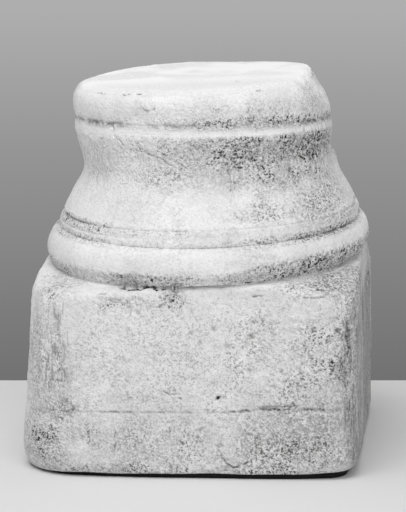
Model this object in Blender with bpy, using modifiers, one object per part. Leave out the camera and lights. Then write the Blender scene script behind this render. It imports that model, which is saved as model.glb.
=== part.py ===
"""Column base carved from one block of stone, worn and a little out of true.

A tall square plinth carries a large torus, a thin roll, a bell that draws in to the neck, a flat band
and a thick crown. The bed on the crown carried the shaft. Lengths are in metres and +Z is up. The origin
is at the middle of the underside, -Y is the front and +X is the right-hand side.
"""
import math

import bmesh
import bpy
from mathutils import Matrix, Vector

# Heights, stacked from the ground up along the middle of the stone
PLINTH_HEIGHT = 0.1935
TORUS_HEIGHT = 0.0362
ROLL_HEIGHT = 0.0124
BELL_HEIGHT = 0.0609
NECK_HEIGHT = 0.010
BAND_HEIGHT = 0.018
CROWN_HEIGHT = 0.0395

# Plan of the plinth at the ground, and how far it draws in on the way up
PLINTH_WIDTH = 0.338
PLINTH_DEPTH = 0.324
FRONT_SKEW = 0.012
RIGHT_SKEW = 0.011
LEFT_BATTER = 0.0120
RIGHT_BATTER = 0.004

# Radii of the mouldings
TORUS_RADIUS = 0.160
TORUS_FOOT_RADIUS = 0.1535
ROLL_RADIUS = 0.150
LIP_RADIUS = 0.1445
NECK_RADIUS = 0.1237
BAND_RADIUS = 0.127
CROWN_RADIUS = 0.1273

# Depths of the grooves between the mouldings, measured in from the thinner neighbour
TORUS_GROOVE_DEPTH = 0.004
ROLL_GROOVE_DEPTH = 0.003
BAND_GROOVE_DEPTH = 0.003

# How deep the turned solid reaches into the block before the two are joined
TENON_DEPTH = 0.020

# Share of a moulding's height at which it is widest
TORUS_BELLY = 0.43
ROLL_BELLY = 0.40
CROWN_BELLY = 0.34

# The lip under the bell, and the crown's worn shoulder
LIP_HEIGHT = 0.0045
SHOULDER_WIDTH = 0.016
SHOULDER_HEIGHT = 0.022
RIM_SLOPE = math.radians(57)

# Rounding of the plinth's upright corners, front left first and on round to the right
CORNER_RADII = (0.064, 0.040, 0.016, 0.020)
# How far each upper corner of the plinth is worn down below the foot of the torus
CORNER_WEAR = (0.002, 0.021, 0.050, 0.022)
FOOT_ROUNDING = 0.013

# The mouldings were cut out of square with the plinth: at each level they are shifted along X and Y
# and rise along X and Y, as a length and as a slope
FOOT_SET = (0.0032, -0.0030, 0.0410, 0.0655)
TORUS_SET = (0.0054, -0.0030, 0.0330, 0.0680)
ROLL_SET = (0.0048, -0.0030, 0.0340, 0.0500)
BELL_SET = (0.0060, -0.0030, 0.0200, 0.0380)
NECK_SET = (0.0006, -0.0030, 0.0120, 0.0140)
BAND_SET = (-0.0010, -0.0030, 0.0073, -0.0029)
CROWN_SET = (-0.0037, -0.0030, 0.0073, 0.0000)
BED_RISE = (0.0460, 0.0560)

# Fineness of the curves
TURN_STEPS = 72
ARC_STEPS = 4
BELL_STEPS = 7
CORNER_STEPS = 5
FOOT_STEPS = 2

TORUS_TOP = PLINTH_HEIGHT + TORUS_HEIGHT
ROLL_TOP = TORUS_TOP + ROLL_HEIGHT
BELL_TOP = ROLL_TOP + BELL_HEIGHT
NECK_TOP = BELL_TOP + NECK_HEIGHT
BAND_TOP = NECK_TOP + BAND_HEIGHT
BED_HEIGHT = BAND_TOP + CROWN_HEIGHT
MERGE = 0.00001


def clear_scene():
    """Remove everything that a new file starts with."""
    for thing in list(bpy.data.objects):
        bpy.data.objects.remove(thing)


def new_collection(name):
    collection = bpy.data.collections.new(name)
    bpy.context.scene.collection.children.link(collection)
    return collection


def object_from_bmesh(bm, name, collection):
    mesh = bpy.data.meshes.new(name)
    bm.to_mesh(mesh)
    bm.free()
    thing = bpy.data.objects.new(name, mesh)
    collection.objects.link(thing)
    return thing


def stone_material():
    """Pale limestone, as the surface looks from a step away."""
    material = bpy.data.materials.new("pale_limestone")
    material.use_nodes = True
    shader = material.node_tree.nodes["Principled BSDF"]
    shader.inputs["Base Color"].default_value = (0.66, 0.65, 0.62, 1.0)
    shader.inputs["Roughness"].default_value = 0.9
    shader.inputs["Metallic"].default_value = 0.0
    return material


def quarter_arc(start, end, starts_upright):
    """Points of a quarter ellipse between two profile points, without its first point."""
    (r0, z0), (r1, z1) = start, end
    points = []
    for step in range(1, ARC_STEPS + 1):
        angle = math.pi / 2 * step / ARC_STEPS
        if starts_upright:
            across, along = 1 - math.cos(angle), math.sin(angle)
        else:
            across, along = math.sin(angle), 1 - math.cos(angle)
        points.append((r0 + (r1 - r0) * across, z0 + (z1 - z0) * along))
    return points


def moulding_profile():
    """Radius and height of the mouldings from the foot of the torus up to above the bed."""
    torus_groove = (ROLL_RADIUS - TORUS_GROOVE_DEPTH, TORUS_TOP)
    roll_groove = (LIP_RADIUS - ROLL_GROOVE_DEPTH, ROLL_TOP)
    band_groove = (BAND_RADIUS - BAND_GROOVE_DEPTH, BAND_TOP)
    foot = (TORUS_FOOT_RADIUS, PLINTH_HEIGHT)
    belly = (TORUS_RADIUS, PLINTH_HEIGHT + TORUS_BELLY * TORUS_HEIGHT)
    roll = (ROLL_RADIUS, TORUS_TOP + ROLL_BELLY * ROLL_HEIGHT)
    lip = (LIP_RADIUS, ROLL_TOP + LIP_HEIGHT)
    crown = (CROWN_RADIUS, BAND_TOP + CROWN_BELLY * CROWN_HEIGHT)
    shoulder = (CROWN_RADIUS - SHOULDER_WIDTH, crown[1] + SHOULDER_HEIGHT)

    points = [foot]
    points += quarter_arc(foot, belly, False)
    points += quarter_arc(belly, torus_groove, True)
    points += quarter_arc(torus_groove, roll, False)
    points += quarter_arc(roll, roll_groove, True)
    points.append(lip)
    for step in range(1, BELL_STEPS + 1):
        share = 1 - step / BELL_STEPS
        radius = NECK_RADIUS + (LIP_RADIUS - NECK_RADIUS) * share ** 2
        points.append((radius, lip[1] + (BELL_TOP - lip[1]) * (1 - share)))
    points.append((BAND_RADIUS - BAND_GROOVE_DEPTH / 2, NECK_TOP))
    points.append((BAND_RADIUS, NECK_TOP + BAND_HEIGHT / 4))
    points.append((BAND_RADIUS, BAND_TOP - BAND_HEIGHT / 8))
    points.append(band_groove)
    points += quarter_arc(band_groove, crown, False)
    points += quarter_arc(crown, shoulder, True)
    rise = SHOULDER_WIDTH * math.tan(RIM_SLOPE)
    points.append((shoulder[0] - SHOULDER_WIDTH, shoulder[1] + rise))
    return points


def blend_sets(height):
    """Shift and rise of the mouldings at one height, between the levels that are known."""
    levels = (
        (PLINTH_HEIGHT, FOOT_SET),
        (TORUS_TOP, TORUS_SET),
        (ROLL_TOP, ROLL_SET),
        (BELL_TOP - BELL_HEIGHT / 4, BELL_SET),
        (BELL_TOP, NECK_SET),
        (BAND_TOP, BAND_SET),
        (BAND_TOP + CROWN_HEIGHT / 2, CROWN_SET),
    )
    if height <= levels[0][0]:
        return levels[0][1]
    for (low, low_set), (high, high_set) in zip(levels, levels[1:]):
        if height <= high:
            share = (height - low) / (high - low)
            return tuple(a + (b - a) * share for a, b in zip(low_set, high_set))
    return levels[-1][1]


def foot_plane(x, y):
    """Height of the bed between plinth and torus, which leans with the mouldings."""
    return PLINTH_HEIGHT + FOOT_SET[2] * x + FOOT_SET[3] * y


def turned_mouldings(collection):
    """Turn the profile, then set every level as far out of true as the mason left it."""
    profile = moulding_profile()
    sunk = PLINTH_HEIGHT - TENON_DEPTH
    outline = [(0.0, profile[-1][1])]
    outline += reversed(profile)
    outline += [(NECK_RADIUS, sunk), (0.0, sunk)]

    bm = bmesh.new()
    corners = [bm.verts.new((radius, 0.0, height)) for radius, height in outline]
    for first, second in zip(corners, corners[1:]):
        bm.edges.new((first, second))
    guide = object_from_bmesh(bm, "moulding_profile", collection)
    turn = guide.modifiers.new("turn", "SCREW")
    turn.axis = "Z"
    turn.steps = TURN_STEPS
    turn.render_steps = TURN_STEPS
    turn.use_merge_vertices = True
    turn.merge_threshold = MERGE
    turned = bpy.data.meshes.new_from_object(guide.evaluated_get(bpy.context.evaluated_depsgraph_get()))
    bpy.data.objects.remove(guide)
    for vertex in turned.vertices:
        shift_x, shift_y, rise_x, rise_y = blend_sets(vertex.co.z)
        vertex.co.z += rise_x * vertex.co.x + rise_y * vertex.co.y
        vertex.co.x += shift_x
        vertex.co.y += shift_y
    mouldings = bpy.data.objects.new("mouldings", turned)
    collection.objects.link(mouldings)
    return mouldings


def plinth_corners():
    """The four corners at the ground, front left first and on round to the right."""
    half_width, half_depth = PLINTH_WIDTH / 2, PLINTH_DEPTH / 2
    return (
        Vector((-half_width, -half_depth)),
        Vector((half_width - RIGHT_SKEW, FRONT_SKEW - half_depth)),
        Vector((half_width, half_depth)),
        Vector((-half_width, half_depth)),
    )


def plinth_block(collection):
    """A battered block whose upright corners are rounded, each with its own radius."""
    bm = bmesh.new()
    bmesh.ops.create_cube(bm, size=2.0)
    plan = dict(zip(((-1, -1), (1, -1), (1, 1), (-1, 1)), plinth_corners()))
    for vertex in bm.verts:
        corner = plan[(round(vertex.co.x), round(vertex.co.y))]
        if vertex.co.z < 0:
            vertex.co = (corner.x, corner.y, 0.0)
        else:
            draw_in = LEFT_BATTER if corner.x < 0 else -RIGHT_BATTER
            vertex.co = (corner.x + draw_in, corner.y, foot_plane(corner.x, corner.y))
    for corner, radius in zip(plinth_corners(), CORNER_RADII):
        uprights = [
            edge for edge in bm.edges
            if abs(edge.verts[0].co.z - edge.verts[1].co.z) > PLINTH_HEIGHT / 2
            and min((vertex.co.xy - corner).length for vertex in edge.verts) < MERGE
        ]
        bmesh.ops.bevel(bm, geom=uprights, offset=radius, offset_type="OFFSET",
                        segments=CORNER_STEPS, profile=0.5, affect="EDGES")
    underside = [edge for edge in bm.edges if max(vertex.co.z for vertex in edge.verts) < MERGE]
    bmesh.ops.bevel(bm, geom=underside, offset=FOOT_ROUNDING, offset_type="OFFSET",
                    segments=FOOT_STEPS, profile=0.5, affect="EDGES")
    return object_from_bmesh(bm, "column_base", collection)


def corner_cutter(index, collection):
    """A block whose sloping underside wears one upper corner of the plinth down outside the torus."""
    corner = plinth_corners()[index]
    middle = Vector(FOOT_SET[:2])
    outward = (corner - middle).normalized()
    run = (corner - middle).length - TORUS_FOOT_RADIUS
    size = PLINTH_WIDTH
    bm = bmesh.new()
    bmesh.ops.create_cube(bm, size=size, matrix=Matrix.Translation((0.0, 0.0, size / 2)))
    facing = Matrix.Rotation(math.atan2(outward.y, outward.x), 4, "Z")
    beyond = TORUS_FOOT_RADIUS + size / 2
    place = Matrix.Translation((middle + outward * beyond).to_3d())
    bmesh.ops.transform(bm, matrix=place @ facing, verts=bm.verts)
    for vertex in bm.verts:
        distance = (vertex.co.xy - middle).dot(outward) - TORUS_FOOT_RADIUS
        worn = CORNER_WEAR[index] * distance / run
        vertex.co.z += foot_plane(vertex.co.x, vertex.co.y) - worn
    return as_cutter(object_from_bmesh(bm, f"corner_wear_{index + 1}", collection))


def bed_cutter(collection):
    """Everything above the sloping bed that carried the shaft."""
    size = 2 * PLINTH_WIDTH
    bm = bmesh.new()
    bmesh.ops.create_cube(bm, size=size, matrix=Matrix.Translation((0.0, 0.0, size / 2)))
    for vertex in bm.verts:
        vertex.co.z += BED_HEIGHT + BED_RISE[0] * vertex.co.x + BED_RISE[1] * vertex.co.y
    return as_cutter(object_from_bmesh(bm, "bed_plane", collection))


def as_cutter(thing):
    thing.hide_render = True
    thing.display_type = "WIRE"
    return thing


def add_boolean(target, tool, operation):
    modifier = target.modifiers.new(tool.name, "BOOLEAN")
    modifier.operation = operation
    modifier.solver = "EXACT"
    modifier.object = tool


def build():
    clear_scene()
    parts = new_collection("column_base_parts")
    cutters = new_collection("cutters")
    stone = plinth_block(parts)
    stone.data.materials.append(stone_material())
    for index in range(len(CORNER_WEAR)):
        add_boolean(stone, corner_cutter(index, cutters), "DIFFERENCE")
    add_boolean(stone, as_cutter(turned_mouldings(cutters)), "UNION")
    add_boolean(stone, bed_cutter(cutters), "DIFFERENCE")


build()
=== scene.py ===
"""Dressed model of a worn stone column base, built over its solid and in the same frame.

The stone is turned as one blank, its lower part is squared into the plinth, every moulding is set as
far out of true as the mason left it, and the surface is then worn, chipped, cracked and pitted.
"""
import math
from functools import partial

import bpy
import numpy as np
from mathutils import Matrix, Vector, noise


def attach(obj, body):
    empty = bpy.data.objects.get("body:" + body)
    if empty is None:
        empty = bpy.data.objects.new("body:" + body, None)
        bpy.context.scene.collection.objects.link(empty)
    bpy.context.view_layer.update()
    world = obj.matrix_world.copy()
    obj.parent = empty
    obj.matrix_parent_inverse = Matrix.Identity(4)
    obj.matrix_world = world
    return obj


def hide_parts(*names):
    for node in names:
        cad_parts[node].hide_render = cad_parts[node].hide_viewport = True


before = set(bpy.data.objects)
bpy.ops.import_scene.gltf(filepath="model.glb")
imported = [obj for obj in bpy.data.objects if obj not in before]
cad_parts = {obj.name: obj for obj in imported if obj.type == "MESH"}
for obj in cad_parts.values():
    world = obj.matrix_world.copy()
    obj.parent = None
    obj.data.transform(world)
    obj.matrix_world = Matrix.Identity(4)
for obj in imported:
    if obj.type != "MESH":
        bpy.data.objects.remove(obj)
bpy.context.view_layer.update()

bl_info = {
    "name": "Worn column base",
    "version": (1, 0, 0),
    "blender": (4, 5, 0),
    "location": "3D View > Sidebar > Column base",
    "description": "Carves and weathers a stone column base and sets a plain stage for it",
    "category": "Add Mesh",
}

MM = 0.001
NODE = "column_base"
FULL_TURN = 2 * math.pi
QUARTER_TURN = math.pi / 2

# How far the camera stands to the right of the front
VIEW_TURN = math.radians(5.2)


def linear(hex_colour):
    """Turn an sRGB hex colour into the linear values that shaders take."""
    channels = [int(hex_colour[place:place + 2], 16) / 255 for place in (1, 3, 5)]
    return tuple(c / 12.92 if c <= 0.04045 else ((c + 0.055) / 1.055) ** 2.4 for c in channels)


def length(name, default, description):
    """A size that a user would change, in metres."""
    return bpy.props.FloatProperty(name=name, default=default, description=description,
                                   min=0.0, unit="LENGTH", precision=4)


def colour(name, hex_colour, description):
    """A colour that a user would change."""
    return bpy.props.FloatVectorProperty(name=name, default=linear(hex_colour), size=3, min=0.0, max=1.0,
                                         subtype="COLOR", description=description)


class StoneSizes(bpy.types.PropertyGroup):
    """Driving sizes of the stone."""

    plinth_height: length("Plinth height", 0.1935, "Underside to the foot of the torus, along the middle")
    torus_height: length("Torus height", 0.0362, "Large torus, foot to groove")
    roll_height: length("Roll height", 0.0124, "Thin roll above the torus")
    bell_height: length("Bell height", 0.0609, "Lip of the bell to the narrowest part of the neck")
    neck_height: length("Neck height", 0.010, "Narrowest part of the neck to the flat band")
    band_height: length("Band height", 0.018, "Flat band under the crown")
    crown_height: length("Crown height", 0.0395, "Groove above the band to the bed")
    plinth_width: length("Plinth width", 0.338, "Across the front at the ground")
    plinth_depth: length("Plinth depth", 0.324, "Front to back at the ground")
    torus_radius: length("Torus radius", 0.160, "Widest part of the large torus")
    foot_radius: length("Foot radius", 0.1535, "Torus where it meets the plinth")
    roll_radius: length("Roll radius", 0.149, "Widest part of the thin roll")
    lip_radius: length("Lip radius", 0.1445, "Lower edge of the bell")
    neck_radius: length("Neck radius", 0.1237, "Narrowest part of the neck")
    band_radius: length("Band radius", 0.127, "Flat band under the crown")
    crown_radius: length("Crown radius", 0.1273, "Widest part of the crown")
    groove_depth: length("Groove depth", 0.0018, "Grooves between the mouldings")
    columns: bpy.props.IntProperty(name="Columns", default=336, min=48,
                                   description="Faces round the stone, closer together at the front")
    row_spacing: length("Row spacing", 0.0025, "Height of one row of faces")


class StoneColours(bpy.types.PropertyGroup):
    """Colours of dry, weathered limestone, which also paint its light and shade."""

    # Pale also paints light on the bed and on shaded places, and highlights on crumbs
    pale: colour("Pale stone", "#F6F6F6", "Freshly rubbed, chalky surface")
    body: colour("Body", "#DEDEDE", "Most of the surface")
    # Grey also paints shade under the torus, at the crown's groove, in the neck and on the plinth's right
    # face
    grey: colour("Grey patina", "#A2A2A2", "Weathered skin")
    # Grime also paints the shade in the grooves and in the pits, and the black shadow of the recess under the
    # stone
    soot_and_painted_shade: colour("Grime", "#1C1C1C", "Dirt held in pits, grooves and cracks")


class StageSettings(bpy.types.PropertyGroup):
    """Table, light and camera."""

    table: colour("Table", "#E1E1E1", "Plain pale table top")
    turn: bpy.props.FloatProperty(name="Camera turn", default=VIEW_TURN, subtype="ANGLE",
                                  description="How far the camera stands to the right of the front")
    pitch: bpy.props.FloatProperty(name="Camera pitch", default=math.radians(9.41), subtype="ANGLE",
                                   description="How far the camera looks down")
    distance: length("Camera distance", 2.009, "Level distance from the camera to the middle of the plinth")
    eye_height: length("Eye height", 0.521, "Height of the camera above the table")
    focal: bpy.props.FloatProperty(name="Focal length", default=142.5, unit="CAMERA",
                                   description="Focal length for a 36 mm high picture")


def settings():
    """The values that the operators read."""
    scene = bpy.context.scene
    return scene.stone_sizes, scene.stone_colours, scene.stage_settings


# Profile of the blank that is turned before the plinth is squared
BLANK_RADIUS = 190 * MM
FOOT_ROUNDING = 8 * MM
CONTACT_INSET = 11 * MM
RECESS_INSET = 8.6 * MM
EDGE_ROUNDING = 4.5 * MM
TORUS_BELLY = 0.43
ROLL_BELLY = 0.40
CROWN_BELLY = 0.34
LIP_HEIGHT = 3.5 * MM
NECK_SHARE = 0.28
SHOULDER_WIDTH = 16 * MM
SHOULDER_HEIGHT = 22 * MM
RIM_SLOPE = math.radians(57)

# A quarter curve is about this much longer than its chord
CURVE_LENGTH = 1.15
FEWEST_ON_CURVE = 3

# The level line scratched across the plinth, where the rows of faces run closer together
LINE_HEIGHT = 66 * MM
LINE_MARGIN = 7 * MM

# Places on the blank that differ by less than these are the same
HAIR = MM / 10
FINE_HAIR = MM / 100


def straight(share):
    """A straight line."""
    return share, share


def swelling(share):
    """Leaves at a slant and ends upright."""
    return math.sin(QUARTER_TURN * share), share


def upright_arc(share):
    """Quarter ellipse that starts upright."""
    return 1 - math.cos(QUARTER_TURN * share), math.sin(QUARTER_TURN * share)


def level_arc(share):
    """Quarter ellipse that starts level."""
    return math.sin(QUARTER_TURN * share), 1 - math.cos(QUARTER_TURN * share)


def bell(share):
    """Flares out at its lip and runs nearly upright into the neck."""
    below = 1 - share
    flare = max(0.0, below - NECK_SHARE) / (1 - NECK_SHARE)
    return 1 - 0.5 * below ** 2 - 0.5 * flare ** 2 * (3 - 2 * flare), share


def follow(start, goal, shape, spacing):
    """Profile points after start, up to goal."""
    (r0, z0), (r1, z1) = start, goal
    chord = math.dist(start, goal)
    if shape is straight:
        count = max(1, round(chord / spacing))
    else:
        count = max(FEWEST_ON_CURVE, round(CURVE_LENGTH * chord / spacing))
    shares = (shape(step / count) for step in range(1, count + 1))
    return [(r0 + (r1 - r0) * across, z0 + (z1 - z0) * along) for across, along in shares]


class Levels:
    """Heights of the mouldings, stacked from the ground."""

    def __init__(self, sizes):
        self.foot = sizes.plinth_height
        self.torus = self.foot + sizes.torus_height
        self.roll = self.torus + sizes.roll_height
        self.neck = self.roll + sizes.bell_height
        self.band = self.neck + sizes.neck_height
        self.crown = self.band + sizes.band_height
        self.bed = self.crown + sizes.crown_height


def blank_profile(sizes):
    """Radius and height of the blank from the middle of the underside up to the middle of the bed."""
    level = Levels(sizes)
    groove, band_radius = sizes.groove_depth, sizes.band_radius
    belly = level.crown + CROWN_BELLY * sizes.crown_height
    shoulder = (sizes.crown_radius - SHOULDER_WIDTH, belly + SHOULDER_HEIGHT)
    rim = (shoulder[0] - SHOULDER_WIDTH, shoulder[1] + SHOULDER_WIDTH * math.tan(RIM_SLOPE))

    # Radius and height at the end of each stretch, its shape, and its spacing in rows of faces
    stretches = (
        (BLANK_RADIUS - CONTACT_INSET, 0.0, straight, 20),
        (BLANK_RADIUS - RECESS_INSET, 0.0, straight, 1),
        (BLANK_RADIUS - FOOT_ROUNDING, 0.0, straight, 1),
        (BLANK_RADIUS, FOOT_ROUNDING, level_arc, 1),
        (BLANK_RADIUS, LINE_HEIGHT - LINE_MARGIN, straight, 1),
        (BLANK_RADIUS, LINE_HEIGHT + LINE_MARGIN, straight, 0.44),
        (BLANK_RADIUS, level.foot - EDGE_ROUNDING, straight, 1),
        (BLANK_RADIUS - EDGE_ROUNDING, level.foot, upright_arc, 0.5),
        (sizes.foot_radius, level.foot, straight, 1.5),
        (sizes.torus_radius, level.foot + TORUS_BELLY * sizes.torus_height, swelling, 1.1),
        (sizes.roll_radius - groove, level.torus, upright_arc, 0.8),
        (sizes.roll_radius, level.torus + ROLL_BELLY * sizes.roll_height, level_arc, 0.6),
        (sizes.lip_radius - groove, level.roll, upright_arc, 0.6),
        (sizes.lip_radius, level.roll + LIP_HEIGHT, level_arc, 0.6),
        (sizes.neck_radius, level.neck, bell, 1.22),
        (band_radius, level.band + sizes.band_height / 4, straight, 1),
        (band_radius, level.crown - sizes.band_height / 8, straight, 1),
        (band_radius - groove, level.crown, straight, 0.6),
        (sizes.crown_radius, belly, level_arc, 0.7),
        (*shoulder, upright_arc, 1),
        (*rim, straight, 1.2),
        (0.0, rim[1], straight, 2.8),
    )
    points = [(0.0, 0.0)]
    for radius, height, shape, rows in stretches:
        points += follow(points[-1], (radius, height), shape, rows * sizes.row_spacing)
    return points


# How far each level of the mouldings is shifted along X and Y, and how it rises along X and Y
SETS = {
    "foot": (3.2 * MM, -3.0 * MM, 0.0410, 0.0655),
    "torus": (5.4 * MM, -3.0 * MM, 0.0330, 0.0680),
    "roll": (6.0 * MM, -3.0 * MM, 0.0340, 0.0500),
    "bell": (5.2 * MM, -3.0 * MM, 0.0200, 0.0380),
    "neck": (0.6 * MM, -3.0 * MM, 0.0120, 0.0140),
    "crown": (-1.0 * MM, -3.0 * MM, 0.0073, -0.0029),
    "rim": (-3.7 * MM, -3.0 * MM, 0.0073, 0.0000),
}
BED_RISE = (0.0460, 0.0560)

# Plan of the plinth: skewed faces, rounded upright corners and worn upper corners, front left first
FRONT_SKEW = 12 * MM
RIGHT_SKEW = 11 * MM
LEFT_BATTER = 11 * MM
RIGHT_BATTER = 4 * MM
BATTER_CURVE = 0.6
CORNER_RADII = (64 * MM, 40 * MM, 16 * MM, 20 * MM)
GROUND_RADII = (50 * MM, 22 * MM, 16 * MM, 20 * MM)
CORNER_WEAR = (6 * MM, 22 * MM, 50 * MM, 22 * MM)
ARC_STEPS = 24
SIDE_STEPS = 60
SHELF_MARGIN = 0.8 * MM

# How much closer together the columns of faces stand at the front, and at the corners
FRONT_CROWDING = 0.42
CORNER_CROWDING = 0.055


def gauss(distance, width):
    return np.exp(-(distance / width) ** 2)


def ramp(value, low, high):
    """Smooth step from 0 at low to 1 at high."""
    share = np.clip((value - low) / (high - low), 0, 1)
    return share * share * (3 - 2 * share)


def blend_sets(height, sizes):
    """Shift and rise of the mouldings at each height."""
    level = Levels(sizes)
    heights = (level.foot, level.torus, level.roll, level.neck - sizes.bell_height / 4, level.neck,
               level.crown, level.crown + sizes.crown_height / 2)
    table = np.array(list(SETS.values()))
    return [np.interp(height, heights, table[:, part]) for part in range(4)]


def foot_plane(x, y, sizes):
    """Height of the leaning bed between plinth and torus."""
    return sizes.plinth_height + SETS["foot"][2] * x + SETS["foot"][3] * y


def plinth_corners(sizes, raised):
    """Corners of the plinth at the ground, or drawn in at the top."""
    half_width, half_depth = sizes.plinth_width / 2, sizes.plinth_depth / 2
    left = LEFT_BATTER if raised else 0.0
    right = RIGHT_BATTER if raised else 0.0
    return [
        Vector((left - half_width, -half_depth)),
        Vector((half_width - RIGHT_SKEW - right, FRONT_SKEW - half_depth)),
        Vector((half_width - right, half_depth)),
        Vector((left - half_width, half_depth)),
    ]


def rounded_outline(corners, radii):
    """Plan of the plinth as angle and distance from the middle, with every corner rounded."""
    ends = []
    arcs = []
    for index, (corner, radius) in enumerate(zip(corners, radii)):
        before = (corners[index - 1] - corner).normalized()
        after = (corners[(index + 1) % 4] - corner).normalized()
        half_angle = before.angle(after) / 2
        reach = radius / math.tan(half_angle)
        middle = corner + (before + after).normalized() * radius / math.sin(half_angle)
        first, last = corner + before * reach - middle, corner + after * reach - middle
        sweep = math.pi - 2 * half_angle
        start = math.atan2(first.y, first.x)
        turns = [start + sweep * step / ARC_STEPS for step in range(ARC_STEPS + 1)]
        arcs.append([middle + radius * Vector((math.cos(turn), math.sin(turn))) for turn in turns])
        ends.append(middle + last)
    outline = []
    for index, arc in enumerate(arcs):
        goal = arcs[(index + 1) % 4][0]
        outline += arc + [ends[index].lerp(goal, step / SIDE_STEPS) for step in range(1, SIDE_STEPS)]
    points = np.array(outline)
    angles = np.arctan2(points[:, 1], points[:, 0])
    order = np.argsort(angles)
    return angles[order], np.hypot(points[:, 0], points[:, 1])[order]


def plan_radius(angle, share, sizes):
    """Distance from the middle to the plinth's face, at a share of its height."""
    ground, top = (
        np.interp(angle, *rounded_outline(plinth_corners(sizes, raised), radii), period=FULL_TURN)
        for raised, radii in ((False, GROUND_RADII), (True, CORNER_RADII)))
    return ground + (top - ground) * np.clip(share, 0, 1) ** BATTER_CURVE


def shelf_height(x, y, sizes):
    """Height of the plinth's upper surface, which drops towards its worn corners."""
    height = foot_plane(x, y, sizes)
    middle = Vector(SETS["foot"][:2])
    for corner, wear in zip(plinth_corners(sizes, False), CORNER_WEAR):
        outward = (corner - middle).normalized()
        run = (corner - middle).length - sizes.foot_radius
        beyond = (x - middle.x) * outward.x + (y - middle.y) * outward.y - sizes.foot_radius
        height = height - wear * np.maximum(beyond, 0.0) / run
    return height


# Middle of each worn corner along X and Y, and how far the wear reaches
FOOT_LEFT = (-150 * MM, -138 * MM, 60 * MM)
FOOT_RIGHT = (152 * MM, -138 * MM, 40 * MM)
EDGE_LEFT = (-138 * MM, -132 * MM, 52 * MM)
EDGE_RIGHT = (146 * MM, -128 * MM, 44 * MM)

# From where to where along Y the wear of the back sets in
FOOT_BEHIND = (-120 * MM, -60 * MM)
EDGE_BEHIND = (60 * MM, 120 * MM)

# How much rounder than drawn: everywhere, then what the left, the right and the back add
FOOT_WIDER = (0.4, 1.3, 1.3, 0.8)
FOOT_TALLER = (1.0, 1.3, 0.5)
EDGE_ROUNDER = (1.0, 1.9, 1.7, 0.6)
FOOT_LEAN = 2.5 * MM


def near_corner(x, y, corner):
    """One at the middle of a worn corner, fading out within its reach."""
    return gauss(np.hypot(x - corner[0], y - corner[1]), corner[2])


def weighed(weights, *places):
    """The first weight, and what each place adds to it."""
    return weights[0] + sum(weight * place for weight, place in zip(weights[1:], places))


def foot_worn(x, y):
    """How much wider and taller the foot is rounded than drawn, and how far it is drawn in at the ground."""
    left, right = near_corner(x, y, FOOT_LEFT), near_corner(x, y, FOOT_RIGHT)
    across = weighed(FOOT_WIDER, left, right, ramp(y, *FOOT_BEHIND) * (1 - left))
    return across, across * weighed(FOOT_TALLER, left, right), FOOT_LEAN * left


def edge_worn(x, y):
    """How much rounder the upper edge is than drawn: blunt at the front corners and behind."""
    left, right = near_corner(x, y, EDGE_LEFT), near_corner(x, y, EDGE_RIGHT)
    return weighed(EDGE_ROUNDER, left, right, ramp(y, *EDGE_BEHIND))


def along(x, table):
    """A value that changes along X, between the places given in millimetres."""
    places, values = zip(*table)
    return np.interp(x, np.array(places) * MM, values)


# How far the front edge of the underside stands clear, along X, in millimetres
FRONT_GAP = ((-150, 0.8), (-118, 2.6), (-70, 3.8), (0, 4.8), (60, 5.0), (100, 5.3), (120, 5.5),
             (145, 5.6))

# The gap at the back, how wavy it is, and how far up the stone it lifts the surface
BACK_GAP = 2 * MM
GAP_WAVE = 0.5 * MM
GAP_REACH = 34 * MM

# How far up the foot is drawn in, and how much of the blank's width the recess under it keeps
LEAN_HEIGHT = 40 * MM
UNDERCUT = 0.6


def foot_gap(x, y):
    """How far the edge of the underside stands clear of what the stone rests on."""
    wave = GAP_WAVE * np.sin(x / (13 * MM)) * np.sin(x / (37 * MM) + 1)
    front = along(x, FRONT_GAP) * MM + wave
    return front + (BACK_GAP - front) * ramp(y, -130 * MM, -20 * MM)


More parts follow.
